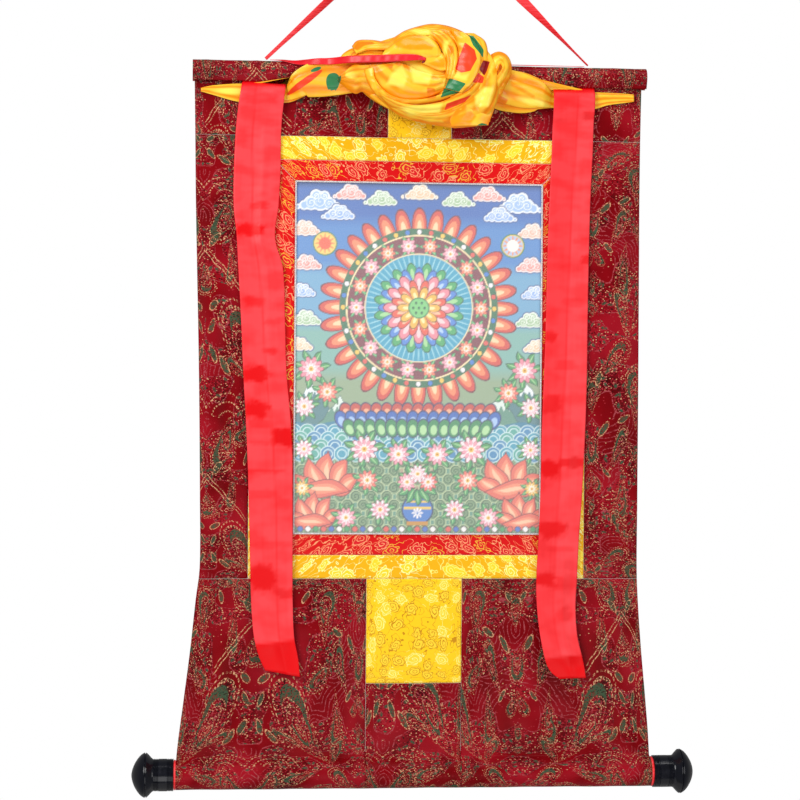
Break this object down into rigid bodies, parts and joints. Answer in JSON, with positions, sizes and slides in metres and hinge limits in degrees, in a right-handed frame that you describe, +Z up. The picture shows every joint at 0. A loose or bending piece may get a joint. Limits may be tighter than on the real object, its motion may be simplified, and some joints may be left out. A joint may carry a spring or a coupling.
{
  "type": "thangka scroll painting with its top rod and roller",
  "caption": "Hanging scroll of maroon paisley brocade with a framed picture, red ribbons, a knotted yellow veil over the top rod, and a roller with black turned knobs.",
  "frame": {"origin": "the nail that the hanging ribbon goes over, at the underside of the ribbon's bend", "axes": "+Z up, the picture faces -Y, +X to the viewer's right"},
  "size_m": [0.694, 0.0834, 1.0949],
  "materials": {
    "maroon_brocade": "satin brocade woven with paisleys, moss green and fine gold",
    "yellow_brocade": "golden yellow brocade with pale cloud scrolls",
    "pale_yellow_brocade": "pale yellow brocade with thin ochre scrolls",
    "red_brocade": "bright red brocade with cream and gold clouds",
    "picture_cloth": null,
    "silver_cord": "thin twisted silver-white cord",
    "red_satin": "glossy red satin ribbon",
    "yellow_satin": "glossy yellow satin with printed patches",
    "black_lacquer": "blue-black gloss, turned",
    "pale_wood": "plain turned rod"
  },
  "bodies": {
    "root": {"band_red_bottom": "red_brocade", "band_red_left": "red_brocade", "band_red_right": "red_brocade", "band_red_top": "red_brocade", "band_yellow_bottom": "yellow_brocade", "band_yellow_left": "yellow_brocade", "band_yellow_right": "yellow_brocade", "band_yellow_top": "yellow_brocade", "cuff_left": "red_satin", "cuff_right": "red_satin", "edging_cord": "silver_cord", "hang_cord": "red_satin", "heading": "maroon_brocade", "knob_left": "black_lacquer", "knob_right": "black_lacquer", "painting": "picture_cloth", "panel_top_left": "maroon_brocade", "panel_top_right": "maroon_brocade", "ribbon_left": "red_satin", "ribbon_right": "red_satin", "rod_ribbon": "red_satin", "roller": "pale_wood", "side_left": "maroon_brocade", "side_right": "maroon_brocade", "skirt_left": "maroon_brocade", "skirt_middle": "maroon_brocade", "skirt_right": "maroon_brocade", "tab_lower": "pale_yellow_brocade", "tab_upper": "pale_yellow_brocade", "top_rod": "pale_wood", "veil": "yellow_satin", "veil_tie": "red_satin"}
  },
  "joints": []
}
